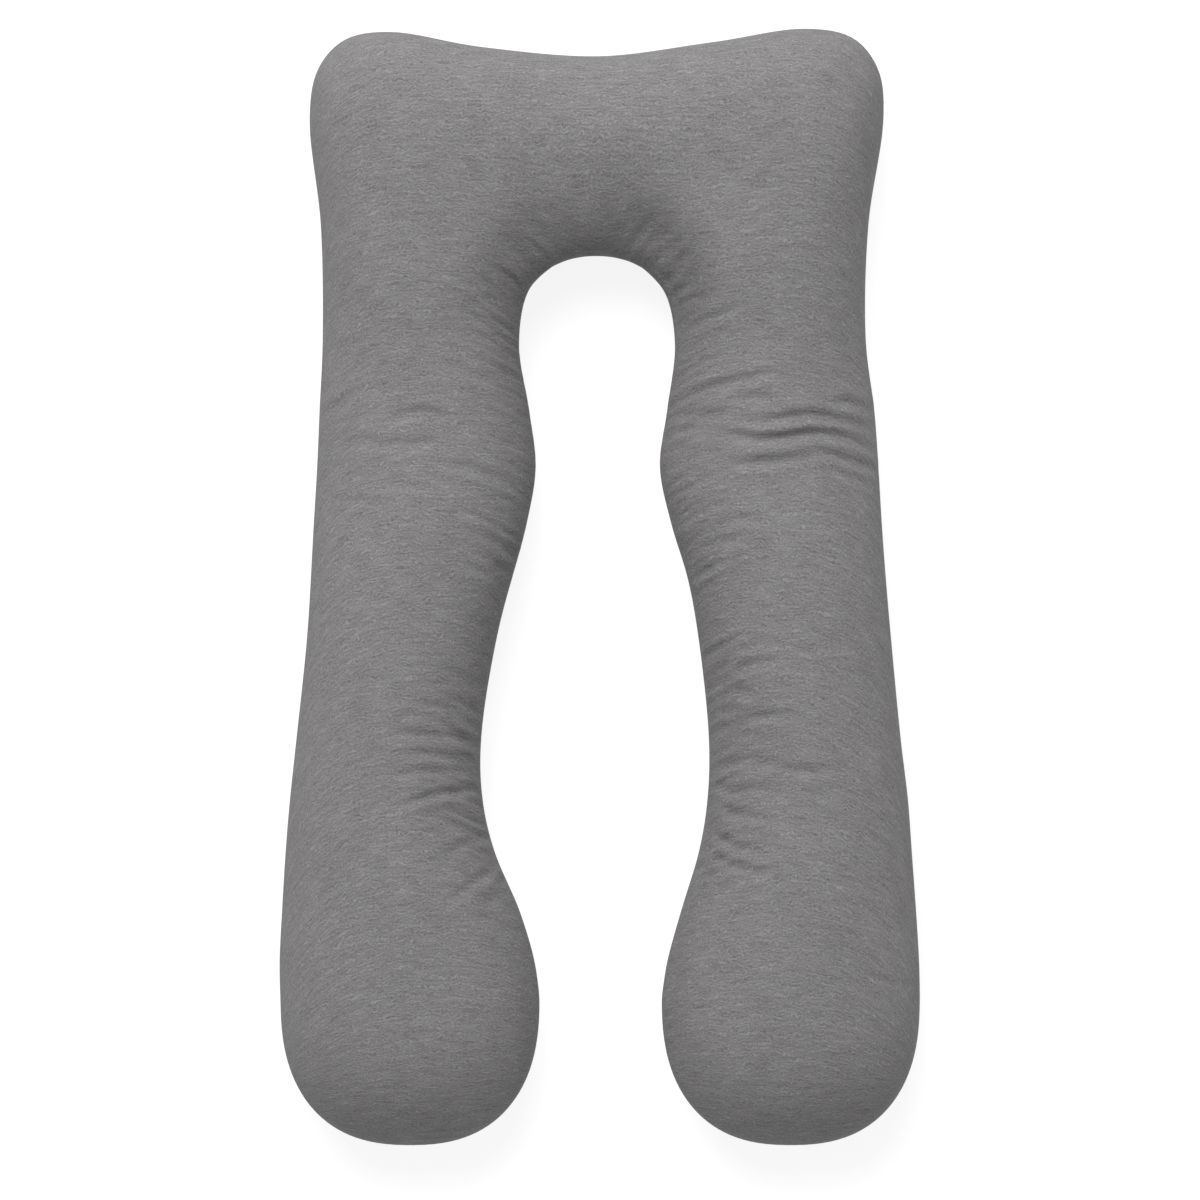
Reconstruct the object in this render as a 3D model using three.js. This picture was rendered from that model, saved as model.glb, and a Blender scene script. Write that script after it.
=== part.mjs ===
// U-shaped full-body pillow, lying on its back: two jersey panels sewn round their edge and
// stuffed into one plump body. A broad head end joins two long arms, each with a bulge on its
// inner side, a waist and a bulbous foot.
//
// Millimetres, +Z up. The origin is on the floor at the middle of the pillow's outline, +Y points
// to the head end and +X to the right arm, seen from above.
//
// The body is a loft. Its cross sections are carried from the left foot up the left arm, round the
// head and down the right arm. Each section stands upright between a point of the outer edge and a
// point of the inner edge, where the side seam runs, and is flat where it rests on the floor.

import * as THREE from 'three';
import { LoftGeometry } from 'three/addons/geometries/LoftGeometry.js';

// Sections of the body: where the seam runs at the outer and the inner edge, and the height of
// the crown above the floor.
const SECTIONS = [
  // left arm, from the widest line of its foot
  { outerX: -403, outerY: -520, innerX: -77, innerY: -520, crown: 206 },
  { outerX: -403, outerY: -475, innerX: -82, innerY: -475, crown: 206 },
  { outerX: -399, outerY: -375, innerX: -117, innerY: -375, crown: 204 },
  { outerX: -390, outerY: -270, innerX: -148, innerY: -270, crown: 201 },
  { outerX: -382, outerY: -195, innerX: -150, innerY: -195, crown: 201 },
  { outerX: -368, outerY: -60, innerX: -129, innerY: -60, crown: 203 },
  { outerX: -360, outerY: 80, innerX: -92, innerY: 80, crown: 197 },
  { outerX: -356, outerY: 150, innerX: -81, innerY: 150, crown: 191 },
  { outerX: -353, outerY: 220, innerX: -89, innerY: 220, crown: 188 },
  { outerX: -349, outerY: 310, innerX: -102, innerY: 305, crown: 190 },
  // head, round the left corner to the middle
  { outerX: -351, outerY: 455, innerX: -90, innerY: 372, crown: 204 },
  { outerX: -365, outerY: 590, innerX: -62, innerY: 401, crown: 208 },
  { outerX: -355, outerY: 650, innerX: -50, innerY: 408, crown: 209 },
  { outerX: -322, outerY: 687, innerX: -40, innerY: 412, crown: 208 },
  { outerX: -265, outerY: 697, innerX: -31, innerY: 414, crown: 205 },
  { outerX: -150, outerY: 678, innerX: -18, innerY: 416, crown: 200 },
  { outerX: 0, outerY: 666, innerX: -3, innerY: 416, crown: 197 },
  // head, round the right corner
  { outerX: 140, outerY: 683, innerX: 14, innerY: 415, crown: 200 },
  { outerX: 260, outerY: 701, innerX: 28, innerY: 412, crown: 205 },
  { outerX: 320, outerY: 689, innerX: 37, innerY: 409, crown: 208 },
  { outerX: 351, outerY: 649, innerX: 46, innerY: 405, crown: 209 },
  { outerX: 357, outerY: 590, innerX: 57, innerY: 399, crown: 208 },
  { outerX: 338, outerY: 455, innerX: 83, innerY: 368, crown: 204 },
  // right arm, down to the widest line of its foot
  { outerX: 335, outerY: 310, innerX: 95, innerY: 305, crown: 190 },
  { outerX: 346, outerY: 220, innerX: 85, innerY: 220, crown: 188 },
  { outerX: 351, outerY: 150, innerX: 76, innerY: 150, crown: 191 },
  { outerX: 355, outerY: 80, innerX: 90, innerY: 80, crown: 197 },
  { outerX: 360, outerY: 10, innerX: 111, innerY: 10, crown: 201 },
  { outerX: 366, outerY: -60, innerX: 124, innerY: -60, crown: 203 },
  { outerX: 379, outerY: -195, innerX: 138, innerY: -195, crown: 201 },
  { outerX: 388, outerY: -270, innerX: 136, innerY: -270, crown: 201 },
  { outerX: 395, outerY: -375, innerX: 113, innerY: -375, crown: 204 },
  { outerX: 402, outerY: -475, innerX: 83, innerY: -475, crown: 206 },
  { outerX: 403, outerY: -520, innerX: 78, innerY: -520, crown: 206 },
];

// Round end of a foot, past its widest line
const FOOT_REACH = 181; // from the widest line to the tip
const FOOT_FULLNESS = 2.5; // power of its outline: 2 is an ellipse, more is blunter
const FOOT_SLOPE = 1.6; // power of its slope from the crown to the tip

// Cross section
const HEAD_LEAN = 0.3; // how far the head's crown lies from the middle towards the outer edge
const SEAM_SHARE = 0.46; // height of the side seam as a share of the crown's
const CROWN_FULLNESS = 2.2; // power of the upper curve: 2 is an ellipse, more is plumper
const UNDER_FULLNESS = 2.3; // power of the lower curve
const UNDER_SINK = 24; // how far the underside would hang below the floor if nothing held it up
const FLOOR_ROUNDING = 10; // height over which the underside curves off the floor

const CREASE_RISE = 2.5; // how soon a crease comes to its full depth above the seam

// Main creases of the cover, soft troughs across the arms. Each is centred on x, y and is half
// long to either side of it. It rises by rise over that half, and its ends droop by droop.
const CREASES = [
  // right arm, above and on the bulge
  { x: 172, y: 257, half: 82, rise: 13, droop: 10, depth: 5, width: 10 },
  { x: 262, y: 215, half: 100, rise: -5, droop: 11, depth: 6, width: 10 },
  { x: 246, y: 190, half: 118, rise: -5, droop: 9, depth: 6, width: 10 },
  { x: 262, y: 163, half: 106, rise: -5, droop: 10, depth: 5, width: 10 },
  // right arm, inner side from the waist to the foot
  { x: 180, y: -99, half: 54, rise: 10, droop: 7, depth: 4, width: 10 },
  { x: 196, y: -167, half: 66, rise: 10, droop: 8, depth: 4, width: 10 },
  { x: 184, y: -259, half: 44, rise: -5, droop: 2, depth: 4, width: 10 },
  { x: 174, y: -321, half: 42, rise: -12, droop: 0, depth: 3, width: 10 },
  { x: 180, y: -358, half: 46, rise: -11, droop: -2, depth: 4, width: 10 },
  // left arm, inner side from the waist to the foot
  { x: -200, y: -213, half: 58, rise: -4, droop: 3, depth: 4, width: 9 },
  { x: -204, y: -263, half: 62, rise: 9, droop: 4, depth: 5, width: 11 },
  { x: -164, y: -377, half: 42, rise: 20, droop: 0, depth: 4, width: 12 },
  // round the inner corners of the head
  { x: -106, y: 388, half: 34, rise: -20, droop: 0, depth: 4, width: 11 },
  { x: 108, y: 372, half: 34, rise: 16, droop: 0, depth: 4, width: 11 },
];

// Fineness of the loft
const STEP = 36; // between sections on a plain stretch, along the outer edge
const CREASE_STEP = 10; // between sections where creases cross
const EDGE_PROBES = 4000; // points tried along the outer edge to space the sections
const FOOT_STEPS = 9; // sections in the round end of a foot
const CROWN_SIDES = 26; // sides of a section above the seam
const UNDER_SIDES = 10; // and below it
const UNDER_GATHER = 0.55; // how much closer together those are near the seam than at the middle

const jersey = new THREE.MeshStandardMaterial({ color: 0x7e7c7d, roughness: 0.95, metalness: 0 });

// The outer edge, the inner edge and the crown as smooth lines through the sections. The same
// parameter gives the points of one section on all three.
function linesThrough(sections) {
  const outer = sections.map((s) => new THREE.Vector3(s.outerX, s.outerY, s.crown * SEAM_SHARE));
  const inner = sections.map((s) => new THREE.Vector3(s.innerX, s.innerY, s.crown * SEAM_SHARE));
  const crown = sections.map((s) => {
    return new THREE.Vector3((s.outerX + s.innerX) / 2, (s.outerY + s.innerY) / 2, s.crown);
  });
  return {
    outer: new THREE.CatmullRomCurve3(outer),
    inner: new THREE.CatmullRomCurve3(inner),
    crown: new THREE.CatmullRomCurve3(crown),
  };
}

// How deep the creases press the cover in at a point of the plan. Across a crease the cloth dips
// and rises a little on both sides, and along it the dip fades to nothing at both ends.
function creaseDepth(x, y) {
  let depth = 0;
  for (const crease of CREASES) {
    const along = (x - crease.x) / crease.half;
    if (Math.abs(along) >= 1) continue;
    const line = crease.y + crease.rise * along - crease.droop * along * along;
    const across = (y - line) / crease.width;
    const fade = (1 - along * along) ** 2;
    depth += crease.depth * fade * (1 - across * across) * Math.exp((-across * across) / 2);
  }
  return depth;
}

// Keeps a height at or above the floor, with a rounded corner in place of a sharp one.
function restOnFloor(z) {
  if (z <= -FLOOR_ROUNDING) return 0;
  if (z >= FLOOR_ROUNDING) return z;
  return (z + FLOOR_ROUNDING) ** 2 / (4 * FLOOR_ROUNDING);
}

// Draws even shares of the underside together towards both seams, away from the flat middle.
function gathered(share) {
  return share - (UNDER_GATHER * Math.sin(2 * Math.PI * share)) / (2 * Math.PI);
}

// One closed cross section, from the outer seam over the crown to the inner seam and back below.
// spread shrinks its width and its depth below the seam, and rise its height above the seam, for
// the round end of a foot. The more a section lies along Y, as the head's do, the more it leans.
function sectionRing(outer, inner, crownHeight, spread = 1, rise = 1) {
  const middle = outer.clone().add(inner).multiplyScalar(0.5);
  const reach = outer.clone().sub(inner).multiplyScalar(spread / 2);
  const seamHeight = outer.z;
  const lean = (HEAD_LEAN * Math.abs(reach.y)) / reach.length();
  const above = (crownHeight - seamHeight) * rise;
  const below = (seamHeight + UNDER_SINK) * spread;
  const ring = [];
  const sides = CROWN_SIDES + UNDER_SIDES;
  for (let side = 0; side < sides; side++) {
    const onCrown = side <= CROWN_SIDES;
    const turn = onCrown ? side / CROWN_SIDES : 1 + gathered((side - CROWN_SIDES) / UNDER_SIDES);
    const cosine = Math.cos(turn * Math.PI);
    const sine = Math.sin(turn * Math.PI);
    const power = 2 / (onCrown ? CROWN_FULLNESS : UNDER_FULLNESS);
    const even = Math.sign(cosine) * Math.abs(cosine) ** power;
    const across = onCrown ? even + lean * (1 - even * even) : even;
    const lift = Math.sign(sine) * Math.abs(sine) ** power * (onCrown ? above : below);
    const point = middle.clone().addScaledVector(reach, across);
    if (onCrown) {
      const offset = new THREE.Vector3(point.x - middle.x, point.y - middle.y, lift);
      const shown = Math.min(1, CREASE_RISE * sine);
      const pressed = (shown * creaseDepth(point.x, point.y)) / Math.max(offset.length(), 1);
      point.addScaledVector(reach, -across * pressed);
      point.z = seamHeight + lift * (1 - pressed);
    } else {
      point.z = restOnFloor(seamHeight + lift);
    }
    ring.push(point);
  }
  return ring;
}

// The round end of a foot, from near its tip to near its widest line.
function footEnd(section) {
  const seamHeight = section.crown * SEAM_SHARE;
  const rings = [];
  for (let step = 1; step <= FOOT_STEPS; step++) {
    const turn = ((step - 0.5) / FOOT_STEPS) * (Math.PI / 2);
    const narrowing = Math.sin(turn) ** (2 / FOOT_FULLNESS);
    const y = section.outerY - FOOT_REACH * Math.cos(turn) ** (2 / FOOT_FULLNESS);
    const outer = new THREE.Vector3(section.outerX, y, seamHeight);
    const inner = new THREE.Vector3(section.innerX, y, seamHeight);
    const falling = Math.sin(turn) ** (2 / FOOT_SLOPE);
    rings.push(sectionRing(outer, inner, section.crown, narrowing, falling));
  }
  return rings;
}

// Parameters of the sections to loft through: close together where creases cross the arm, and
// further apart on the plain stretches.
function stations(lines) {
  const steps = [0];
  let last = lines.outer.getPoint(0);
  for (let probe = 1; probe <= EDGE_PROBES; probe++) {
    const here = lines.outer.getPoint(probe / EDGE_PROBES);
    const creased = CREASES.some((crease) => {
      const bend = Math.abs(crease.rise) + crease.droop + 2 * crease.width;
      return Math.abs(here.y - crease.y) < bend && crease.x * here.x > 0;
    });
    steps.push(steps.at(-1) + here.distanceTo(last) / (creased ? CREASE_STEP : STEP));
    last = here;
  }
  const count = Math.ceil(steps.at(-1));
  return Array.from({ length: count + 1 }, (_, station) => {
    const wanted = (station / count) * steps.at(-1);
    return steps.findIndex((walked) => walked >= wanted) / EDGE_PROBES;
  });
}

function pillow() {
  const lines = linesThrough(SECTIONS);
  const body = stations(lines).map((at) => {
    return sectionRing(lines.outer.getPoint(at), lines.inner.getPoint(at), lines.crown.getPoint(at).z);
  });
  const leftEnd = footEnd(SECTIONS.at(0));
  const rightEnd = footEnd(SECTIONS.at(-1)).reverse();
  const geometry = new LoftGeometry([...leftEnd, ...body, ...rightEnd], { capStart: true, capEnd: true });
  const mesh = new THREE.Mesh(geometry, jersey);
  mesh.name = 'pillow';
  return mesh;
}

const bodyPillow = new THREE.Group();
bodyPillow.add(pillow());

export default bodyPillow;
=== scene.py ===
"""Looks of a U-shaped body pillow in heather grey jersey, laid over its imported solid.

The pillow is one stuffed piece. Its surface is a cross section carried round the U, from the tip
of the left foot up the left arm, over the head end and down to the tip of the right foot. Two
parameters give a point of it: the row, which is a cross section, and the column, which goes round
that section from the outer seam over the crown to the inner seam and back along the underside.
Lengths are millimetres up to the moment a mesh is made, which is in metres.
"""

import logging
import math
from dataclasses import dataclass
from enum import Enum
from typing import Any, NamedTuple

import bpy
import numpy as np
from numpy.typing import NDArray
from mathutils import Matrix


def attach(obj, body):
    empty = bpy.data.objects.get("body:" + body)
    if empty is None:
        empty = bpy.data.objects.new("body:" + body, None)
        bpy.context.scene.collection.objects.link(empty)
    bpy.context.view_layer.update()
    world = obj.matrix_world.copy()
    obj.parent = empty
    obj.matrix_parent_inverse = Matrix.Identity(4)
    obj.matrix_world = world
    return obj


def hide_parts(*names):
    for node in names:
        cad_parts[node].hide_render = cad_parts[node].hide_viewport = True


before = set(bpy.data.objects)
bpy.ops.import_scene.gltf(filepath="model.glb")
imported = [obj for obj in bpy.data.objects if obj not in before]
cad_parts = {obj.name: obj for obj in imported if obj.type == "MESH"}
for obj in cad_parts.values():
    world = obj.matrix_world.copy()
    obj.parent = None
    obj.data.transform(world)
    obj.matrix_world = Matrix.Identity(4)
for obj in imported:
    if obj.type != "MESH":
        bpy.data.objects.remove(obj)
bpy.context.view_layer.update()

log = logging.getLogger("body_pillow")

Array = NDArray[np.float64]
Pair = tuple[float, float]
Tree = bpy.types.NodeTree
Socket = bpy.types.NodeSocket
MM = 0.001
TINY = 1e-9  # stands in for a length of nothing in a division
WHITE = "ffffff"


class Panel(Enum):
    """The two jersey panels that are sewn together round the edge."""

    FRONT = 0
    BACK = 1


class Pattern(Enum):
    """The patterns of the jersey, each with the shift that keeps it from lining up with the others."""

    GRAIN = 0.0
    MARL = 31.3
    CLOUD = 57.9
    HAIR = 11.7
    PATCH = 83.1


class Section(NamedTuple):
    """A cross section: its seam points at the outer and inner edge, and its crown's height."""

    outer_x: float
    outer_y: float
    inner_x: float
    inner_y: float
    crown: float


class Crease(NamedTuple):
    """A soft trough in the front panel.

    It follows a smooth line through points, given as X and Y, mostly from left to right. The line
    is its shaded wall, and its floor lies to the right of that as one goes along the line.
    """

    depth: float
    width: float
    points: tuple[Pair, ...]


SECTIONS = tuple(Section(*row) for row in (
    # left arm, from the widest line of its foot
    (-402, -520, -75.8, -520, 206),
    (-403, -475, -82, -475, 206),
    (-400, -412, -100.6, -412, 205),
    (-395.3, -334, -133.4, -334, 203),
    (-390, -270, -148, -270, 201),
    (-382, -195, -150, -195, 201),
    (-368, -60, -129, -60, 203),
    (-360, 80, -92, 80, 197),
    (-356, 150, -81, 150, 191),
    (-353, 220, -89, 220, 188),
    (-349, 310, -102, 305, 190),
    # head, round the left corner to the middle
    (-351, 455, -90, 372, 204),
    (-365, 590, -62, 401, 208),
    (-355, 650, -50, 407.2, 209),
    (-322, 687, -40, 411, 208),
    (-265, 697, -31, 413.4, 205),
    (-150, 677.5, -18, 415.6, 200),
    (0, 665.3, -3, 416.3, 197),
    # head, round the right corner
    (140, 683, 14, 415, 200),
    (260, 701, 28, 411.9, 205),
    (320, 689, 37, 409, 208),
    (351, 649, 46, 405, 209),
    (357, 590, 57, 398.3, 208),
    (338, 455, 83, 368, 204),
    # right arm, down to the widest line of its foot
    (335, 310, 95, 305, 190),
    (346, 220, 85, 220, 188),
    (351, 150, 76, 150, 191),
    (355, 80, 90, 80, 197),
    (360, 10, 111, 10, 201),
    (366, -60, 124, -60, 203),
    (379, -195, 138, -195, 201),
    (388, -270, 136, -270, 201),
    (392.7, -334, 125.6, -334, 203),
    (398.3, -412, 102.2, -412, 205),
    (402, -475, 85, -475, 206),
    (403, -520, 78, -520, 206),
))

CREASES = tuple(Crease(*row) for row in (
    # right arm, the group above and on the bulge
    (3.3, 7, ((92, 240), (103, 247), (139, 252), (183, 262), (210, 269), (249, 261))),
    (1.6, 7, ((94, 225), (119, 239), (139, 247))),
    (2.2, 7, ((150, 236), (206, 240), (231, 236))),
    (2.6, 7, ((84, 217), (148, 219), (178, 225))),
    (1.5, 7, ((84, 202), (129, 201), (146, 206))),
    (5.0, 7, ((170, 207), (215, 211), (259, 217), (309, 210), (350, 197))),
    (5.6, 7, ((137, 197), (206, 187), (272, 195), (315, 188), (352, 165))),
    (4.1, 7, ((148, 154), (212, 159), (275, 165))),
    (3.8, 7, ((259, 169), (295, 166), (358, 145))),
    (2.3, 7, ((255, 150), (295, 148), (352, 127))),
    (2.8, 7, ((279, 231), (314, 233), (350, 219))),
    (1.2, 7, ((94, 84), (124, 97), (176, 107))),
    (1.2, 7, ((139, 85), (188, 89), (223, 91))),
    (1.8, 7, ((98, 42), (143, 59), (188, 61))),
    (1.4, 7, ((110, 13), (121, 22), (141, 34))),
    # right arm, inner side from the waist to the foot
    (1.3, 7, ((145, -87), (187, -70), (237, -72))),
    (2.4, 7, ((136, -128), (152, -97), (161, -90))),
    (2.1, 7, ((160, -101), (195, -91), (231, -87))),
    (1.7, 7, ((136, -135), (156, -121), (176, -113))),
    (2.1, 7, ((157, -134), (179, -129), (199, -127))),
    (2.4, 6, ((151, -158), (160, -156), (186, -147))),
    (2.8, 7, ((132, -185), (200, -159), (264, -159))),
    (1.4, 6, ((149, -184), (176, -181), (200, -179))),
    (1.8, 7, ((134, -231), (159, -219), (195, -214), (239, -219))),
    (1.8, 7, ((209, -224), (265, -226), (294, -230))),
    (2.8, 7, ((143, -243), (165, -253), (195, -250), (221, -255))),
    (2.3, 7, ((147, -269), (168, -280), (219, -286))),
    (2.6, 7, ((134, -301), (150, -308), (159, -317), (209, -329))),
    (2.8, 7, ((135, -329), (179, -350), (227, -352))),
    (1.1, 7, ((116, -355), (124, -353), (149, -348))),
    # left arm, faint ones on the bulge
    (2.6, 7, ((-349, 215), (-324, 235), (-295, 253))),
    (2.9, 7, ((-265, 214), (-220, 221), (-172, 207))),
    (2.6, 8, ((-334, 165), (-308, 182), (-292, 186), (-256, 180), (-211, 183), (-168, 177))),
    (2.0, 7, ((-211, 157), (-163, 151), (-95, 127))),
    (1.5, 7, ((-277, 135), (-229, 129), (-209, 133))),
    (1.3, 7, ((-348, 112), (-301, 110), (-277, 105), (-252, 105))),
    (1.3, 7, ((-190, 101), (-157, 95), (-125, 87))),
    (1.8, 7, ((-137, 199), (-116, 186), (-90, 171))),
    (2.4, 7, ((-142, 76), (-122, 57), (-100, 35))),
    (2.2, 7, ((-143, 31), (-116, 23), (-104, 19))),
    (1.5, 7, ((-176, 284), (-154, 267), (-125, 263))),
    # left arm, inner side from the waist to the foot
    (1.5, 7, ((-209, -90), (-181, -105), (-134, -125))),
    (0.8, 6, ((-223, -116), (-188, -120), (-149, -131))),
    (1.3, 6, ((-207, -130), (-166, -143), (-140, -152))),
    (1.3, 6, ((-247, -143), (-212, -145), (-142, -158))),
    (1.2, 7, ((-262, -160), (-241, -155), (-202, -160))),
    (1.9, 7, ((-282, -183), (-217, -182), (-142, -194))),
    (2.2, 7, ((-253, -205), (-223, -204), (-144, -218))),
    (1.9, 7, ((-280, -232), (-186, -226), (-142, -233))),
    (3.2, 6, ((-262, -276), (-207, -257), (-142, -251))),
    (1.0, 7, ((-233, -313), (-189, -298), (-144, -296))),
    (1.5, 7, ((-201, -341), (-176, -321), (-153, -312), (-134, -311))),
    (2.1, 7, ((-203, -403), (-181, -383), (-126, -343))),
    (1.3, 7, ((-152, -400), (-137, -388), (-108, -379))),
    (1.0, 7, ((-139, -375), (-123, -366), (-108, -360))),
    # round the inner corners of the head
    (3.5, 5, ((-122, 402), (-104, 385), (-86, 368))),
    (1.8, 7, ((-146, 395), (-124, 373), (-92, 344))),
    (1.2, 6, ((-158, 343), (-133, 334), (-94, 318))),
    (1.5, 5, ((-93, 441), (-65, 415), (-52, 402))),
    (1.2, 5, ((-111, 429), (-89, 406), (-72, 390))),
    (1.3, 5, ((70, 375), (90, 392), (107, 411))),
    (1.3, 5, ((80, 363), (97, 372), (119, 383))),
    (1.5, 6, ((82, 347), (109, 361), (133, 371))),
    (1.9, 7, ((94, 319), (142, 341), (186, 356))),
    (0.8, 6, ((56, 401), (72, 427), (93, 453))),
    (0.8, 6, ((90, 275), (112, 282), (137, 289))),
    (0.8, 8, ((190, 333), (210, 340), (229, 346))),
    # broad dips of the head
    (5.0, 40, ((-155, 295), (-145, 385), (-105, 450), (-45, 485))),
    (10.0, 40, ((5, 480), (80, 452), (120, 390), (122, 280))),
    (1.6, 38, ((-230, 634), (0, 631), (230, 638))),
    # a fine one on the right foot
    (1.0, 4, ((318, -487), (341, -487), (399, -503))),
))


def smooth_line(points: Array, at: Array) -> Array:
    """Reads a smooth line through points.

    It is a centripetal Catmull-Rom spline: each span is a cubic Hermite curve, its end slopes are
    taken from the neighbouring points, and the knots are the square roots of the distances.

    Args:
        points: the points that the line passes through, one to a row.
        at: shares of the whole line, 0 at the first point and 1 at the last, spans being equal.

    Returns:
        One point for each share.
    """
    spans = len(points) - 1
    ends = np.vstack([2 * points[0] - points[1], points, 2 * points[-1] - points[-2]])
    knots = np.sqrt(np.linalg.norm(np.diff(ends, axis=0), axis=1))
    span = np.minimum((at * spans).astype(int), spans - 1)
    w = (at * spans - span)[:, None]
    a, b, c, d = (ends[span + k] for k in range(4))
    ab, bc, cd = (knots[span + k][:, None] for k in range(3))
    leaving = ((b - a) / ab - (c - a) / (ab + bc) + (c - b) / bc) * bc
    arriving = ((c - b) / bc - (d - b) / (bc + cd) + (d - c) / cd) * bc
    from_ends = b * (1 + 2 * w) * (1 - w) ** 2 + c * w**2 * (3 - 2 * w)
    return from_ends + leaving * w * (1 - w) ** 2 + arriving * w**2 * (w - 1)


def eased(share: Array) -> Array:
    """Eases a share in and out between 0 and 1: three of its squares less two of its cubes."""
    held = np.clip(share, 0, 1)
    return held**2 * (3 - 2 * held)


def finer_rows(grid: Array) -> Array:
    """Doubles the rows of a grid by cubic B-spline subdivision, with the end rows kept.

    Args:
        grid: points by row and column.

    Returns:
        The finer grid: old rows become an eighth, six eighths, an eighth of three neighbours, and
        the new rows between them are halfway.
    """
    finer = np.empty((2 * len(grid) - 1, *grid.shape[1:]))
    finer[0::2] = grid
    finer[2:-2:2] = (grid[:-2] + 6 * grid[1:-1] + grid[2:]) / 8
    finer[1::2] = (grid[:-1] + grid[1:]) / 2
    return finer


def finer_columns(grid: Array) -> Array:
    """Doubles the columns of a grid that closes on itself, as finer_rows does the rows.

    Args:
        grid: points by row and column, the last column next to the first.

    Returns:
        The finer grid.
    """
    finer = np.empty((grid.shape[0], 2 * grid.shape[1], grid.shape[2]))
    after = np.roll(grid, -1, axis=1)
    finer[:, 0::2] = (np.roll(grid, 1, axis=1) + 6 * grid + after) / 8
    finer[:, 1::2] = (grid + after) / 2
    return finer


def outward(grid: Array) -> Array:
    """Finds the outward unit normals of a grid of points.

    Args:
        grid: points by row and column, the columns closing on themselves.

    Returns:
        The cross product of the step round the section and the step along the body, made unit
        length. On the end rows, which are single points, it points along the body.
    """
    around = np.roll(grid, -1, axis=1) - np.roll(grid, 1, axis=1)
    along = np.gradient(grid, axis=0)
    normal = np.cross(around, along)
    normal[0] = normal[1].mean(axis=0)
    normal[-1] = normal[-2].mean(axis=0)
    return normal / np.maximum(np.linalg.norm(normal, axis=2, keepdims=True), TINY)


def closed_mesh(name: str, grid: Array) -> bpy.types.Mesh:
    """Makes a closed mesh of a grid whose columns close on themselves and whose end rows are points.

    Args:
        name: the mesh's name.
        grid: points by row and column, in millimetres.

    Returns:
        The mesh, in metres: rings of quads, and a fan of triangles at either end.
    """
    rings = grid[1:-1]
    count = rings.shape[0] * rings.shape[1]
    index = np.arange(count).reshape(rings.shape[:2])
    beside = np.roll(index, -1, axis=1)
    quads = np.stack([index[:-1], beside[:-1], beside[1:], index[1:]], axis=2).reshape(-1, 4)
    tips = np.full(rings.shape[1], count)
    first = np.stack([tips, beside[0], index[0]], axis=1)
    last = np.stack([index[-1], beside[-1], tips + 1], axis=1)
    points = np.concatenate([rings.reshape(-1, 3), grid[[0, -1], 0]]) * MM
    mesh = bpy.data.meshes.new(name)
    mesh.from_pydata(points.tolist(), [], quads.tolist() + first.tolist() + last.tolist())
    return mesh


@dataclass(frozen=True)
class Filling:
    """The polyester filling, which presses the cover out. Millimetres.

    Blender's cloth simulation presses out a cover that is cut a little small. It is held where it
    is sewn and where it lies on the floor, and no point moves further than the cover gives. The
    moves are evened out along the body, so that no row buckles by itself.
    """

    slack: float = 2.5  # how much smaller than the filled body the cover starts
    give: float = 9.0  # the most that a point moves
    pressure: float = 4.0
    frames: int = 20
    fixed_from: float = 0.99  # a point that is held this firmly does not move at all
    evening: int = 4  # passes that even the moves out from row to row, as the stiff cover does

    def press_out(self, grid: Array, tight: Array) -> Array:
        """Presses the cover out.

        A pass of evening makes the move of a row a quarter, a half and a quarter of the moves of
        three neighbouring rows. A point then takes the share of its move that its hold leaves it.

        Args:
            grid: points of the filled body by row and column, its end rows single points.
            tight: how firmly each point is held, from 0, loose, to 1, fixed.

        Returns:
            The points of the pressed cover.
        """
        loose = (1 - tight)[:, :, None]
        start = grid - self.slack * loose * outward(grid)
        move = self.simulated(start, tight) - start
        for _ in range(self.evening):
            move[1:-1] = (move[:-2] + 2 * move[1:-1] + move[2:]) / 4
        length = np.maximum(np.linalg.norm(move, axis=2, keepdims=True), TINY)
        log.info("filling: points moved %.1f mm on average, %.1f at most", length.mean(), length.max())
        return start + move * np.minimum(1.0, self.give / length) * loose

    def simulated(self, start: Array, tight: Array) -> Array:
        """Runs the cloth simulation on a mesh of its own, which is removed again.

        Args:
            start: points of the cover by row and column before it is pressed out.
            tight: how firmly each point is held.

        Returns:
            The points after the last frame.
        """
        cover = bpy.data.objects.new("filling", closed_mesh("filling", start))
        scene = bpy.context.scene
        scene.collection.objects.link(cover)
        fixed = np.flatnonzero(tight[1:-1].ravel() > self.fixed_from)
        sewn = cover.vertex_groups.new(name="sewn")
        sewn.add(fixed.tolist(), 1.0, "REPLACE")
        cloth = cover.modifiers.new("cloth", "CLOTH")
        cloth.settings.vertex_group_mass = sewn.name
        cloth.settings.use_pressure = True
        cloth.settings.uniform_pressure_force = self.pressure
        cloth.settings.effector_weights.gravity = 0.0
        cloth.point_cache.frame_end = self.frames
        for step in range(1, self.frames + 1):
            scene.frame_set(step)
        settled = cover.evaluated_get(bpy.context.evaluated_depsgraph_get()).data
        flat = np.empty(3 * len(settled.vertices), np.float32)
        settled.vertices.foreach_get("co", flat)
        scene.frame_set(1)
        mesh = cover.data
        bpy.data.objects.remove(cover)
        bpy.data.meshes.remove(mesh)
        points = flat.reshape(-1, 3).astype(float) / MM
        ended = start.copy()
        ended[1:-1] = points[:-2].reshape(start[1:-1].shape)
        ended[0] = points[-2]
        ended[-1] = points[-1]
        return ended


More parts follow.
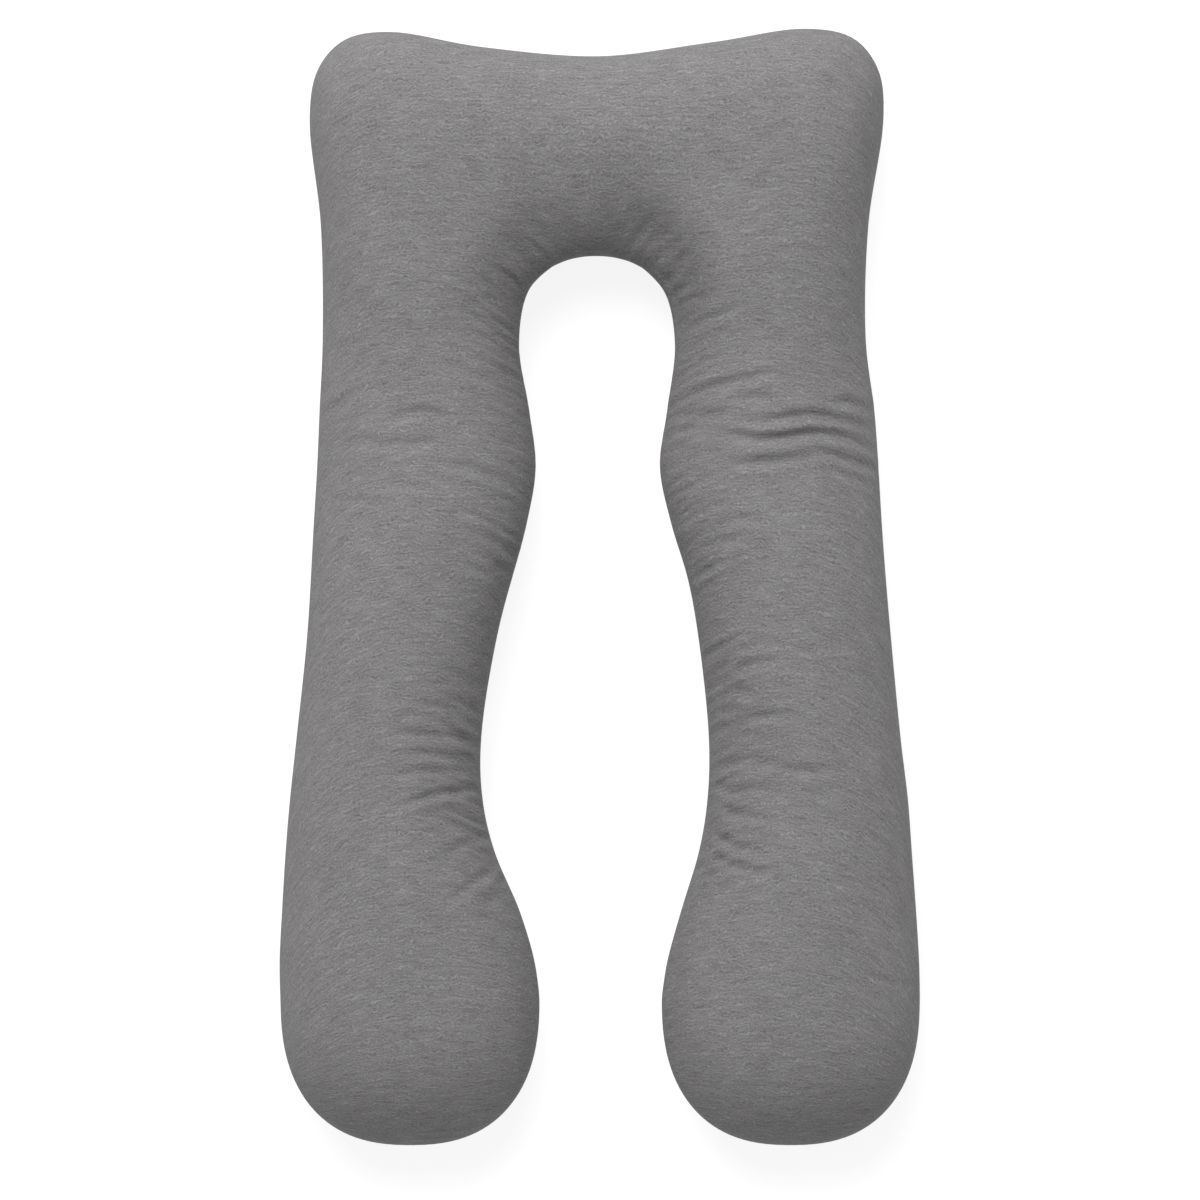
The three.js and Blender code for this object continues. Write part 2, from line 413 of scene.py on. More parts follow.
@dataclass
class StuffedBody:
    """The filled pillow body: two jersey panels, sewn round the edge and stuffed. Millimetres."""

    sections: tuple[Section, ...] = SECTIONS
    creases: tuple[Crease, ...] = CREASES
    foot_reach: float = 185  # from a foot's widest line to its tip
    foot_fullness: float = 2.42  # power of a foot's outline: 2 is an ellipse, more is blunter
    foot_slope: float = 1.6  # power of the slope from a foot's crown to its tip
    head_lean: float = 0.3  # how far the head's crown lies from the middle towards the outer edge
    seam_share: float = 0.46  # height of the side seam as a share of the crown's
    crown_fullness: float = 2.2  # power of the section's upper curve
    under_fullness: float = 2.3  # power of its lower curve
    under_sink: float = 24  # how far the underside would hang below the floor if not held up
    floor_rounding: float = 10  # height over which the underside curves off the floor
    floor_clear: float = 30  # height at which the cover is free of the floor
    seam_groove: float = 2.2  # how far the seam draws the cover in
    seam_width: float = 5  # half width of that groove
    seam_hold: float = 80  # how far from the seam its stitches hold the cover back
    seam_clear: float = 24  # how far from the seam creases and pleats are in full
    lump_height: float = 1.4  # unevenness of the filling
    lump_length: float = 150  # from one lump to the next
    lump_range: Pair = (0.6, 1.6)  # shares of that length that the waves have
    lump_upright: float = 0.5  # how much a wave changes with height, beside its change in plan
    lump_fade: float = 190  # how far from the seam the lumps have their full height
    lump_waves: int = 12
    gather_height: float = 0.8  # of the fine pleats along the inner seam
    gather_place: float = 66  # how far from the seam they are strongest
    gather_reach: float = 42  # how far they run from there
    gather_length: Pair = (12, 30)  # from one pleat to the next
    gather_swell: float = 5.3  # lengths of a pleat from one strong stretch to the next
    gather_droop: float = 45  # how far they droop towards the seam on an arm
    gather_level: Pair = (0.35, 0.75)  # how level a row is where they start and are full
    gather_rise: float = 110  # how far above a foot's widest line they are full
    gather_waves: int = 9
    cover: float = 0.8  # thickness of the jersey over the filling
    crease_floor: float = 0.75  # from a crease's line to its floor, in widths of the crease
    crease_feel: float = 5  # how many widths from its line a crease is felt
    crease_samples: int = 25  # points that a crease's line is measured at
    outer_sag: float = 85  # how far the knit's courses droop towards the outer seam
    sag_from: float = 215  # how far from the middle of the cut panel that starts
    sag_width: float = 190  # and over how much of the panel it comes about
    inner_sag: float = 35  # how far the courses droop from an arm's crown to its inner seam
    sag_power: float = 2.5  # power with which either droop grows
    arm_power: int = 8  # power of a row's levelness that counts the arms and hardly the head
    head_power: int = 4  # power of it that is taken from one to count the head
    least_turn: float = 0.001  # bend of a straight row, so that shares of a bend can be taken
    panel_gap: float = 2500  # from the front panel to the back one on the UV map
    walk_points: int = 4001  # points that the body's length is measured at
    plain_step: float = 17  # between rows on a plain stretch, before the rows are doubled
    crease_step: float = 7.5  # between rows where creases cross
    crease_border: float = 12  # how far beyond a crease the rows stay that close
    foot_rows: int = 15
    front_columns: int = 46
    back_columns: int = 26
    seed: int = 11

    def edge_lines(self, at: Array) -> tuple[Array, Array, Array]:
        """Reads the outer seam, the inner seam and the crown at shares of the body's length.

        Args:
            at: shares of the way from the left foot's widest line to the right foot's.

        Returns:
            Points of the outer seam, points of the inner seam, and heights of the crown.
        """
        table = np.array(self.sections, float)
        seam_height = self.seam_share * table[:, 4:5]
        crown = np.hstack([(table[:, 0:2] + table[:, 2:4]) / 2, table[:, 4:5]])
        outer = smooth_line(np.hstack([table[:, 0:2], seam_height]), at)
        inner = smooth_line(np.hstack([table[:, 2:4], seam_height]), at)
        return outer, inner, smooth_line(crown, at)[:, 2]

    def stations(self) -> Array:
        """Spaces the rows along the body, closer together where creases cross.

        Returns:
            Shares of the body's length at which rows are cut.
        """
        at = np.linspace(0, 1, self.walk_points)
        edge = self.edge_lines(at)[0]
        spans = [np.array(crease.points) for crease in self.creases]
        low = np.array([span.min(axis=0) for span in spans]) - self.crease_border
        high = np.array([span.max(axis=0) for span in spans]) + self.crease_border
        near = (edge[:, 1:2] > low[:, 1]) & (edge[:, 1:2] < high[:, 1])
        same_arm = edge[:, 0:1] * (low[:, 0] + high[:, 0]) > 0
        creased = (near & same_arm).any(axis=1)
        step = np.where(creased, self.crease_step, self.plain_step)[1:]
        walked = np.append(0, np.cumsum(np.linalg.norm(np.diff(edge, axis=0), axis=1) / step))
        return np.interp(np.linspace(0, walked[-1], math.ceil(walked[-1]) + 1), walked, at)

    def rest_on_floor(self, height: Array) -> Array:
        """Keeps heights at or above the floor, with a rounded corner in place of a sharp one.

        Args:
            height: heights, below zero where the floor would be in the way.

        Returns:
            Heights: zero, a quadratic blend within the rounding, and then unchanged.
        """
        blend = (height + self.floor_rounding) ** 2 / (4 * self.floor_rounding)
        lifted = np.where(height >= self.floor_rounding, height, blend)
        return np.where(height <= -self.floor_rounding, 0.0, lifted)

    def smooth_surface(self) -> Array:
        """Works out the stuffed body without creases.

        A row lies upright between its outer and inner seam point. Round it, the distance across
        is a power of the cosine and the height above the seam a power of the sine, so that the
        front is one superellipse and the back another, and the back is cut off by the floor. Past
        a foot's widest line the rows shrink along a superellipse to a point.

        Returns:
            Points by row and column.
        """
        outer, inner, crown = self.edge_lines(self.stations())
        turn = np.linspace(0, math.pi / 2, self.foot_rows + 1)[:-1]
        narrowing = np.sin(turn) ** (2 / self.foot_fullness)
        past = -self.foot_reach * np.cos(turn) ** (2 / self.foot_fullness)
        down = past[:, None] * np.array([0.0, 1.0, 0.0])
        outer = np.vstack([outer[0] + down, outer, (outer[-1] + down)[::-1]])
        inner = np.vstack([inner[0] + down, inner, (inner[-1] + down)[::-1]])
        ends = np.ones(self.foot_rows)
        crown = np.concatenate([crown[0] * ends, crown, crown[-1] * ends])
        plain = np.ones(len(crown) - 2 * len(turn))
        spread = np.concatenate([narrowing, plain, narrowing[::-1]])
        falling = np.sin(turn) ** (2 / self.foot_slope)
        rise = np.concatenate([falling, plain, falling[::-1]])

        front = np.linspace(0, math.pi, self.front_columns, endpoint=False)
        back = np.linspace(math.pi, 2 * math.pi, self.back_columns, endpoint=False)
        angle = np.concatenate([front, back])
        on_front = np.arange(len(angle)) <= self.front_columns
        power = 2 / np.where(on_front, self.crown_fullness, self.under_fullness)
        across = np.sign(np.cos(angle)) * np.abs(np.cos(angle)) ** power
        lift = np.sign(np.sin(angle)) * np.abs(np.sin(angle)) ** power

        seam = outer[:, 2]
        above = ((crown - seam) * rise)[:, None]
        below = ((seam + self.under_sink) * spread)[:, None]
        middle = (outer + inner) / 2
        reach = (outer - inner) / 2 * spread[:, None]
        width = np.maximum(np.linalg.norm(reach, axis=1), TINY)
        lean = self.head_lean * np.abs(reach[:, 1]) / width
        leaning = np.where(on_front, across + lean[:, None] * (1 - across**2), across)
        grid = middle[:, None, :] + leaning[:, :, None] * reach[:, None, :]
        height = seam[:, None] + lift * np.where(on_front, above, below)
        grid[:, :, 2] = np.where(on_front, height, self.rest_on_floor(height))
        return grid

    def filled_surface(self) -> Array:
        """Presses the smooth body out with its filling, held at the seams and on the floor.

        Returns:
            Points by row and column.
        """
        grid = self.smooth_surface()
        nearer = self.seam_distance(grid)
        tight = 1 - eased(nearer / self.seam_hold) * self.off_floor(grid)
        pressed = Filling().press_out(grid, tight)
        pressed[:, :, 2] = np.maximum(pressed[:, :, 2], 0.0)
        return pressed

    def off_floor(self, grid: Array) -> Array:
        """Gives how free of the floor each point is, from 0 on it to 1 at the clear height."""
        return np.clip(grid[:, :, 2] / self.floor_clear, 0, 1)

    def crease_depth(self, grid: Array) -> Array:
        """Works out how deep the creases press the front panel in.

        Along a crease the depth is the square of one less the cube of the way from its middle, so
        that it fades out at both ends. Across it the cloth dips and then rises a little on both
        sides, as the second derivative of a bell curve does.

        Args:
            grid: points by row and column.

        Returns:
            Depths, not yet faded out towards the seams.
        """
        depth = np.zeros(grid.shape[:2])
        plan = grid[:, :, :2]
        for crease in self.creases:
            line = smooth_line(np.array(crease.points, float), np.linspace(0, 1, self.crease_samples))
            margin = self.crease_feel * crease.width
            inside = (plan > line.min(axis=0) - margin) & (plan < line.max(axis=0) + margin)
            near = inside.all(axis=2)
            stride = np.diff(line, axis=0)
            length = np.linalg.norm(stride, axis=1)
            to_point = plan[near][:, None] - line[:-1]
            share = np.clip((to_point * stride).sum(axis=2) / length**2, 0, 1)
            gap = to_point - share[:, :, None] * stride
            away = np.linalg.norm(gap, axis=2)
            nearest = away.argmin(axis=1)
            pick = np.arange(len(nearest))
            to_line = gap[pick, nearest]
            above = stride[nearest, 0] * to_line[:, 1] - stride[nearest, 1] * to_line[:, 0]
            across = np.sign(above) * away[pick, nearest] / crease.width + self.crease_floor
            walked = np.cumsum(length) - length
            along = (walked[nearest] + share[pick, nearest] * length[nearest]) / length.sum()
            fade = (1 - np.abs(2 * along - 1) ** 3) ** 2
            depth[near] += crease.depth * fade * (1 - across**2) * np.exp(-(across**2) / 2)
        return depth

    def gathers(self, grid: Array) -> Array:
        """Works out the fine pleats that the inner seam gathers into the front panel.

        They are a sum of waves along the inner seam, each a sine times a longer sine, so that they
        come and go. They follow the knit's droop towards the seam. There are none on the feet, nor
        over the top of the arch, where rows lie along Y.

        Args:
            grid: points by row and column.

        Returns:
            Heights, not yet faded out away from the inner seam.
        """
        rng = np.random.default_rng(self.seed + 1)
        inner = grid[:, self.inner_column(grid)]
        walked = np.append(0, np.cumsum(np.linalg.norm(np.diff(inner, axis=0), axis=1)))
        heading = grid[:, 0, 0] - inner[:, 0]
        span = np.maximum(np.linalg.norm(grid[:, 0, :2] - inner[:, :2], axis=1), TINY)
        to_seam = np.linalg.norm(grid[:, :, :2] - inner[:, None, :2], axis=2)
        share = np.clip(1 - 2 * to_seam / span[:, None], 0, 1)
        slant = self.gather_droop * np.sign(heading) * (heading / span) ** self.arm_power
        course = (walked[:, None] - slant[:, None] * share**2)[:, :, None]
        length = rng.uniform(*self.gather_length, self.gather_waves)
        phase = rng.uniform(0, 2 * math.pi, (2, self.gather_waves))
        swell = np.sin(2 * math.pi * course / (self.gather_swell * length) + phase[0])
        height = (swell * np.sin(2 * math.pi * course / length + phase[1])).sum(axis=2)
        above_foot = eased((inner[:, 1] - self.sections[0].inner_y) / self.gather_rise)
        starting, full = self.gather_level
        level = np.clip((np.abs(heading) / span - starting) / (full - starting), 0, 1)
        mean_height = math.sqrt(self.gather_waves / 4)
        return self.gather_height * (above_foot * level)[:, None] * height / mean_height

    def lumps(self, grid: Array) -> Array:
        """Works out the unevenness of the filling, as a sum of waves in all directions.

        Args:
            grid: points by row and column.

        Returns:
            Heights above the smooth surface.
        """
        rng = np.random.default_rng(self.seed)
        heading = rng.uniform(0, 2 * math.pi, self.lump_waves)
        length = self.lump_length * rng.uniform(*self.lump_range, self.lump_waves)
        phase = rng.uniform(0, 2 * math.pi, self.lump_waves)
        upright = np.full(self.lump_waves, self.lump_upright)
        turn = np.stack([np.cos(heading), np.sin(heading), upright]) / length
        height = np.sin(2 * math.pi * grid @ turn + phase).sum(axis=2)
        mean_height = math.sqrt(self.lump_waves / 2)
        return self.lump_height * height / mean_height

    def seam_distance(self, grid: Array) -> Array:
        """Measures round each row to the nearer seam.

        Args:
            grid: points by row and column.

        Returns:
            The distance of each point.
        """
        step = np.linalg.norm(np.roll(grid, -1, axis=1) - grid, axis=2)
        walked = np.cumsum(step, axis=1) - step
        girth = step.sum(axis=1, keepdims=True)
        inner_seam = walked[:, self.inner_column(grid)][:, None]
        return np.minimum(np.abs(walked - inner_seam), np.minimum(walked, girth - walked))

    def inner_column(self, grid: Array) -> int:
        """Gives the column of the inner seam, on the coarse grid or a finer one."""
        return self.front_columns * grid.shape[1] // (self.front_columns + self.back_columns)

    def dressed_surface(self) -> Array:
        """Works out the finished surface: the filled body, made finer, with its relief.

        The relief stands along the normal. It is the jersey's thickness, the lumps and the pleats,
        less the creases and the seam's groove. The groove is a bell curve about the seam, and the
        pleats follow one about their place beside the inner seam.

        Returns:
            Points by row and column.
        """
        grid = finer_columns(finer_rows(self.filled_surface()))
        normal = outward(grid)
        nearer = self.seam_distance(grid)
        inner = grid[:, self.inner_column(grid)]
        to_inner = np.linalg.norm(grid - inner[:, None], axis=2)
        on_front = np.arange(grid.shape[1]) < self.inner_column(grid)
        off_floor = self.off_floor(grid)
        clear_of_seam = np.clip(nearer / self.seam_clear, 0, 1) * on_front
        beside_seam = np.exp(-(((to_inner - self.gather_place) / self.gather_reach) ** 2))
        relief = self.cover * off_floor
        relief += self.lumps(grid) * off_floor * eased(nearer / self.lump_fade)
        relief -= self.crease_depth(grid) * clear_of_seam
        relief += self.gathers(grid) * beside_seam * clear_of_seam
        relief -= self.seam_groove * np.exp(-((nearer / self.seam_width) ** 2)) * off_floor
        relief[[0, -1]] = relief[[1, -2]].mean(axis=1, keepdims=True)
        return grid + normal * relief[:, :, None]

    def panel_map(self, grid: Array, panel: Panel) -> Array:
        """Lays a panel out flat, as it was cut from the jersey.

        The crown line keeps its length and its heading in plan. Each row is laid out straight
        from it, outwards and inwards, at its length round the section. The more a row lies along
        Y, as the head's do, the more its inner half is drawn together to its length in plan, so
        that rows do not cross under the arch. In the round end of a foot the rows are bent to
        arcs about the tip, so that the courses run level over the end. The courses of the knit
        run along X on the cut panel. Their droop grows as a power of the share of the way
        towards a seam.

        Args:
            grid: points by row and column.
            panel: which panel is laid out.

        Returns:
            Flat X and Y by row and by the panel's columns, both seams included.
        """
        ring = np.concatenate([grid, grid[:, :1]], axis=1)
        inner = self.inner_column(grid)
        strip = ring[:, : inner + 1] if panel is Panel.FRONT else ring[:, inner:][:, ::-1]
        step = np.linalg.norm(np.diff(strip, axis=1), axis=2)
        walked = np.concatenate([np.zeros((len(grid), 1)), np.cumsum(step, axis=1)], axis=1)
        middle = strip.shape[1] // 2
        crest = strip[:, middle]
        to_crest = walked[:, middle : middle + 1]
        out = to_crest - walked
        reach = np.maximum(np.where(out > 0, to_crest, walked[:, -1:] - to_crest), TINY)
        share = out / reach

        stride = np.diff(crest, axis=0)
        length = np.linalg.norm(stride, axis=1)[:, None]
        plan_length = np.linalg.norm(stride[:, :2], axis=1)[:, None]
        flat = np.vstack([np.zeros(2), np.cumsum(stride[:, :2] * length / plan_length, axis=0)])
        head = len(grid) // 2
        flat += crest[head, :2] - flat[head]
        heading = strip[:, 0, :2] - strip[:, -1, :2]
        heading[0] = heading[1]
        heading[-1] = heading[-2]
        heading /= np.linalg.norm(heading, axis=1)[:, None]
        level = np.abs(heading[:, :1])

        in_plan = np.linalg.norm(crest[:, :2] - strip[:, -1, :2], axis=1)[:, None] / reach
        drawn = 1 + (1 - level**self.head_power) * (in_plan - 1)
        reach = np.where(out > 0, reach, reach * drawn)
        past = np.clip((self.sections[0].outer_y - crest[:, 1:2]) / self.foot_reach, 0, 1)
        bent = past**self.foot_fullness
        turn = np.maximum(math.pi / 2 * bent, self.least_turn)
        from_foot = np.vstack([np.zeros(1), np.cumsum(length, axis=0)])
        back = bent * np.minimum(from_foot, from_foot[-1] - from_foot)
        across = np.sqrt(np.maximum(reach**2 - back**2, 0)) * np.sin(turn * share) / np.sin(turn)
        cut = flat[:, None, :] + across[:, :, None] * heading[:, None, :]
        cut[:, :, 1] -= back * (1 - np.cos(turn * share)) / (1 - np.cos(turn))

        to_outer = np.maximum(np.abs(cut[:, :, 0]) - self.sag_from, 0) / self.sag_width
        to_inner = np.maximum(-share, 0)
        cut[:, :, 1] += self.outer_sag * (1 - bent) * to_outer**self.sag_power
        cut[:, :, 1] += self.inner_sag * level**self.arm_power * (1 - bent) * to_inner**self.sag_power
        return cut

    def build(self) -> bpy.types.Object:
        """Makes the pillow's mesh, with the flat panels as its UV map, in metres.

        Returns:
            The pillow's object, linked to the scene.
        """
        grid = self.dressed_surface()
        mesh = closed_mesh("pillow_cover", grid)
        front = self.panel_map(grid, Panel.FRONT)
        back = self.panel_map(grid, Panel.BACK)[:, ::-1] + np.array([self.panel_gap, 0.0])
        left = np.concatenate([front[:, :-1], back[:, :-1]], axis=1)
        right = np.concatenate([front[:, 1:], back[:, 1:]], axis=1)
        quads = np.stack([left[1:-2], right[1:-2], right[2:-1], left[2:-1]], axis=2)
        first = np.stack([left[0], right[1], left[1]], axis=1)
        last = np.stack([left[-2], right[-2], left[-1]], axis=1)
        corners = np.concatenate([part.reshape(-1, 2) for part in (quads, first, last)]) * MM
        layer = mesh.uv_layers.new(name="cut_panels")
        layer.data.foreach_set("uv", corners.astype(np.float32).ravel())
        mesh.polygons.foreach_set("use_smooth", np.ones(len(mesh.polygons), bool))
        piece = bpy.data.objects.new("pillow_cover", mesh)
        bpy.context.scene.collection.objects.link(piece)
        return piece


def linear(code: str) -> tuple[float, float, float, float]:
    """Turns an sRGB hex colour into linear RGBA.

    It is the sRGB curve: a straight line near black, and a shifted power above it.

    Args:
        code: six hex digits.

    Returns:
        Red, green, blue and an alpha of one.
    """
    parts = [int(code[k : k + 2], 16) / 255 for k in (0, 2, 4)]
    made = [p / 12.92 if p <= 0.04045 else ((p + 0.055) / 1.055) ** 2.4 for p in parts]
    return (made[0], made[1], made[2], 1.0)


def add_node(tree: Tree, kind: str, settings: dict[str, Any] | None = None,
             inputs: dict[Any, Any] | None = None) -> bpy.types.Node:
    """Adds a node, sets it up and links it.

    Args:
        tree: the node tree.
        kind: Blender's name of the node's type.
        settings: values of the node's own properties.
        inputs: by name or number, a value for a socket, or another node's output to link to it.

    Returns:
        The node.
    """
    node = tree.nodes.new(kind)
    for name, value in (settings or {}).items():
        setattr(node, name, value)
    for name, value in (inputs or {}).items():
        if isinstance(value, Socket):
            tree.links.new(value, node.inputs[name])
        else:
            node.inputs[name].default_value = value
    return node


def calculate(tree: Tree, operation: str, *values: Any) -> Socket:
    """Adds a maths node.

    Args:
        tree: the node tree.
        operation: Blender's name of what the node does.
        values: its inputs in order, each a number or another node's output.

    Returns:
        The result.
    """
    return add_node(tree, "ShaderNodeMath", {"operation": operation}, dict(enumerate(values))).outputs[0]


@dataclass(frozen=True)
class HeatherJersey:
    """Heather grey cotton jersey, knitted from yarn spun of lighter and darker fibres.

    It is matt. The mixed fibres show as short, slightly wavy streaks along the courses of the
    knit, with thin pale hairs among them. Lengths are millimetres, along the courses and across.
    """

    dark: str = "4d4a4b"
    pale: str = "a4a3a4"
    mean_tone: float = 0.415  # where the cloth's mean lies between dark and pale
    grain: Pair = (2.5, 1.75)  # yarn is finer, and is drawn as coarse as it shows from afar
    grain_tone: float = 0.36  # how strongly it shows, and so for the other tones
    marl: Pair = (28, 4.0)  # streaks of lighter and darker fibres
    marl_tone: float = 0.23
    hair: Pair = (10, 8)  # noise that hairs follow
    hair_lines: float = 2.2  # hairs are lines of equal height on a noise, this many over its range
    hair_pitch: float = 4.8  # and the noise is tilted, so that a line also comes with each of these
    hair_thin: float = -0.2  # only the part of a wave above this height shows as a hair
    hair_tone: float = 0.24
    hair_patch: Pair = (12, 6)  # hairs come and go in patches of this size
    hair_break: Pair = (0.3, 0.6)  # noise of a patch where hairs start and are full
    cloud: Pair = (45, 14)  # broader unevenness of the mix
    cloud_tone: float = 0.15
    sway: Pair = (2.0, 1.2)  # how far streaks stray from the courses
    sway_length: float = 16  # from one bend of a streak to the next
    sway_spread: float = 4  # noise keeps to about a quarter either side of its middle, so it is spread
    shift_slope: float = 1.7  # a pattern's shift across the courses, as a share of that along them
    relief: float = 0.5  # height of the grain
    relief_share: float = 0.5  # of it that the bump shows
    roughness: float = 0.92
    gloss: float = 0.15

    def pattern(self, tree: Tree, cut: Socket, size: Pair, detail: float, kind: Pattern) -> Socket:
        """Adds a noise that is stretched along the courses.

        Args:
            tree: the material's node tree.
            cut: the place on the flat panel.
            size: the length of a mark along the courses and across them.
            detail: how many finer noises are laid over it.
            kind: which pattern it is, which shifts it.

        Returns:
            The noise's value.
        """
        scale = (1 / (size[0] * MM), 1 / (size[1] * MM), 1.0)
        shift = (kind.value, self.shift_slope * kind.value, 0.0)
        laid = add_node(tree, "ShaderNodeMapping", {"vector_type": "POINT"},
                        {"Vector": cut, "Scale": scale, "Location": shift})
        noise = add_node(tree, "ShaderNodeTexNoise", {"noise_dimensions": "2D"},
                         {"Vector": laid.outputs[0], "Scale": 1.0, "Detail": detail})
        return noise.outputs[0]

    def swayed(self, tree: Tree, flat: Socket) -> Socket:
        """Moves the places on the flat panel a little, so that streaks sway about the courses.

        Args:
            tree: the material's node tree.
            flat: the place on the flat panel.

        Returns:
            The moved place.
        """
        drift = add_node(tree, "ShaderNodeTexNoise", {"noise_dimensions": "2D"},
                         {"Vector": flat, "Scale": 1 / (self.sway_length * MM), "Detail": 1.0})
        centred = add_node(tree, "ShaderNodeVectorMath", {"operation": "SUBTRACT"},
                           {0: drift.outputs["Color"], 1: (0.5, 0.5, 0.5)})
        spread = self.sway_spread * MM
        reach = (spread * self.sway[0], spread * self.sway[1], 0.0)
        moved = add_node(tree, "ShaderNodeVectorMath", {"operation": "MULTIPLY_ADD"},
                         {0: centred.outputs[0], 1: reach, 2: flat})
        return moved.outputs[0]

    def mean_hair(self) -> float:
        """Works out the mean height of hairs over a whole wave, where a hair's top is one.

        The area of a sine above a height, from where it rises past that height to its top, is the
        cosine of the angle where it rises, less the height times the angle left to the top. It is
        shared out over half a turn, and over what the top stands above that height.

        Returns:
            The mean height.
        """
        rising = math.asin(self.hair_thin)
        area = math.cos(rising) - self.hair_thin * (math.pi / 2 - rising)
        return area / (math.pi * (1 - self.hair_thin))

    def hairs(self, tree: Tree, cut: Socket) -> Socket:
        """Adds the thin pale hairs, less their mean, so that they leave the cloth's mean tone alone.

        A hair is where a sine is high. Its angle grows across the courses and with a noise.

        Args:
            tree: the material's node tree.
            cut: the swayed place on the flat panel.

        Returns:
            The hairs' height, broken up in patches.
        """
        level = self.pattern(tree, cut, self.hair, 1.0, Pattern.HAIR)
        patch = self.pattern(tree, cut, self.hair_patch, 1.0, Pattern.PATCH)
        place = add_node(tree, "ShaderNodeSeparateXYZ", None, {0: cut})
        course = calculate(tree, "MULTIPLY", place.outputs["Y"], 2 * math.pi / (self.hair_pitch * MM))
        turn = calculate(tree, "MULTIPLY_ADD", level, 2 * math.pi * self.hair_lines, course)
        wave = calculate(tree, "SINE", turn)
        mean = self.mean_hair()
        line = add_node(tree, "ShaderNodeMapRange", None,
                        {"Value": wave, "From Min": self.hair_thin, "From Max": 1.0,
                         "To Min": -mean, "To Max": 1 - mean})
        broken = add_node(tree, "ShaderNodeMapRange", None,
                          {"Value": patch, "From Min": self.hair_break[0], "From Max": self.hair_break[1]})
        return calculate(tree, "MULTIPLY", line.outputs[0], broken.outputs[0])

    def material(self) -> bpy.types.Material:
        """Makes the jersey's material from the flat panels' UV map.

        The tone is the mean, plus the hairs, plus each noise less its middle, each by its weight.

        Returns:
            The material.
        """
        made = bpy.data.materials.new("heather_jersey")
        made.use_nodes = True
        tree = made.node_tree
        tree.nodes.clear()
        flat = add_node(tree, "ShaderNodeUVMap", {"uv_map": "cut_panels"}).outputs["UV"]
        cut = self.swayed(tree, flat)
        grain = self.pattern(tree, cut, self.grain, 0.0, Pattern.GRAIN)
        marl = self.pattern(tree, cut, self.marl, 1.0, Pattern.MARL)
        cloud = self.pattern(tree, flat, self.cloud, 2.0, Pattern.CLOUD)
        tone = calculate(tree, "MULTIPLY_ADD", self.hairs(tree, cut), self.hair_tone, self.mean_tone)
        for value, weight in ((grain, self.grain_tone), (marl, self.marl_tone), (cloud, self.cloud_tone)):
            even = calculate(tree, "SUBTRACT", value, 0.5)
            tone = calculate(tree, "MULTIPLY_ADD", even, weight, tone)
        # the mix node's sockets 6 and 7 are its two colours
        colour = add_node(tree, "ShaderNodeMix", {"data_type": "RGBA"},
                          {0: tone, 6: linear(self.dark), 7: linear(self.pale)})
        bump = add_node(tree, "ShaderNodeBump", None,
                        {"Strength": self.relief_share, "Distance": self.relief * MM, "Height": grain})
        shader = add_node(tree, "ShaderNodeBsdfPrincipled", None,
                          {"Base Color": colour.outputs[2], "Roughness": self.roughness,
                           "Specular IOR Level": self.gloss, "Normal": bump.outputs[0]})
        add_node(tree, "ShaderNodeOutputMaterial", None, {"Surface": shader.outputs[0]})
        return made


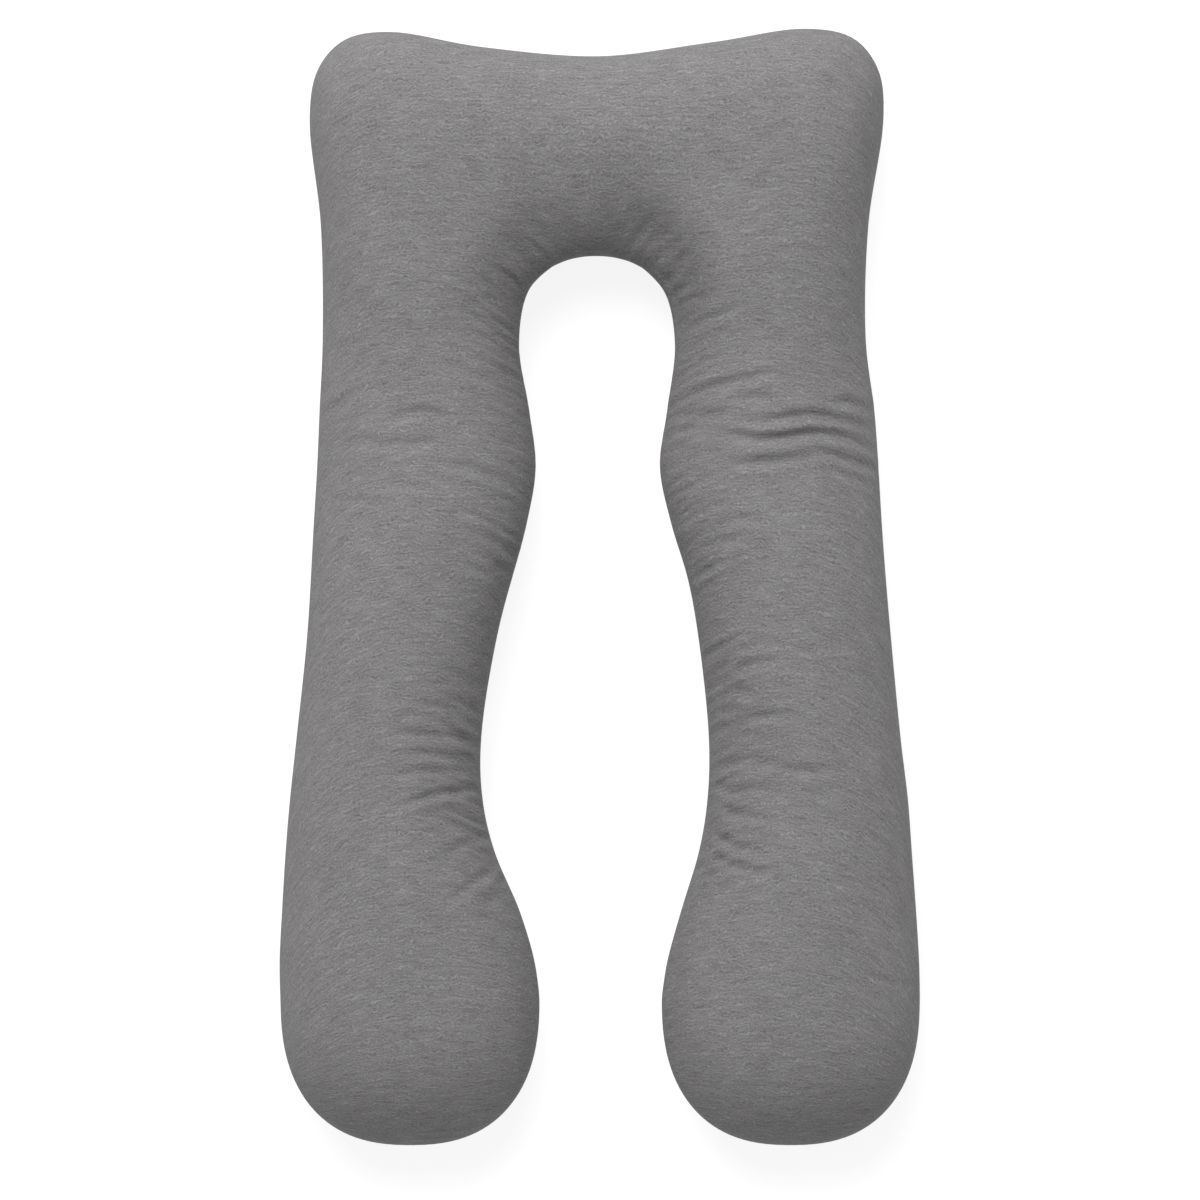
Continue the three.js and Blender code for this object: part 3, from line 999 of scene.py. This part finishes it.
@dataclass
class Studio:
    """The pale floor, the soft light and the camera. Metres."""

    floor_half: float = 25.0
    floor_drop: float = 0.0006  # just below the underside
    floor_colour: str = "8e8e8e"
    floor_glow: float = 0.84  # it is a light table, which stays pale in the pillow's soft shadow
    sky: float = 0.42  # strength of the even white sky
    key_place: tuple[float, float, float] = (-1.4, 5.6, 7.6)  # above the head end, a little to the left
    key_size: float = 6.5
    key_power: float = 890.0  # watts
    camera_height: float = 8.0
    camera_aim: Pair = (0.0003, -0.018)  # what the middle of the picture shows
    view_width: float = 1.5128  # what the square picture takes in at the seam's height
    seam_height: float = 0.095
    sensor: float = 36.0  # width of the camera's sensor, in millimetres
    clip_far: float = 100.0

    def build(self) -> None:
        """Makes the floor, the lights and the camera."""
        self.floor()
        self.lights()
        self.camera()

    def floor(self) -> None:
        """Makes the floor, which is no part of the pillow."""
        half = self.floor_half
        level = -self.floor_drop
        corners = [(-half, -half, level), (half, -half, level), (half, half, level), (-half, half, level)]
        mesh = bpy.data.meshes.new("floor")
        mesh.from_pydata(corners, [], [(0, 1, 2, 3)])
        made = bpy.data.materials.new("pale_floor")
        made.use_nodes = True
        made.node_tree.nodes.clear()
        shader = add_node(made.node_tree, "ShaderNodeBsdfPrincipled", None,
                          {"Base Color": linear(self.floor_colour), "Roughness": 1.0,
                           "Specular IOR Level": 0.0, "Emission Color": linear(WHITE),
                           "Emission Strength": self.floor_glow})
        add_node(made.node_tree, "ShaderNodeOutputMaterial", None, {"Surface": shader.outputs[0]})
        mesh.materials.append(made)
        floor = bpy.data.objects.new("floor", mesh)
        bpy.context.scene.collection.objects.link(floor)

    def lights(self) -> None:
        """Makes the even sky and the large soft light on the head's side."""
        scene = bpy.context.scene
        scene.view_settings.view_transform = "Standard"
        scene.world = bpy.data.worlds.new("studio")
        scene.world.use_nodes = True
        background = scene.world.node_tree.nodes["Background"]
        background.inputs["Color"].default_value = linear(WHITE)
        background.inputs["Strength"].default_value = self.sky
        light = bpy.data.lights.new("key", "AREA")
        light.shape = "DISK"
        light.size = self.key_size
        light.energy = self.key_power
        key = bpy.data.objects.new("key", light)
        key.location = self.key_place
        key.rotation_mode = "QUATERNION"
        key.rotation_quaternion = key.location.to_track_quat("Z", "Y")
        scene.collection.objects.link(key)

    def camera(self) -> None:
        """Makes the camera, which looks straight down at the pillow's face, head end up."""
        lens = bpy.data.cameras.new("camera")
        lens.sensor_width = self.sensor
        lens.lens = self.sensor * (self.camera_height - self.seam_height) / self.view_width
        lens.clip_end = self.clip_far
        camera = bpy.data.objects.new("camera", lens)
        camera.location = (*self.camera_aim, self.camera_height)
        bpy.context.scene.collection.objects.link(camera)
        bpy.context.scene.camera = camera


def main() -> None:
    """Builds the pillow and its studio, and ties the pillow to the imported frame."""
    logging.basicConfig(level=logging.INFO, format="%(name)s: %(message)s")
    pillow = StuffedBody().build()
    pillow.data.materials.append(HeatherJersey().material())
    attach(pillow, "root")
    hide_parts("pillow")
    log.info("%s: %d faces", pillow.name, len(pillow.data.polygons))
    Studio().build()
    log.info("studio: floor, key light and camera")


if __name__ == "__main__":
    main()
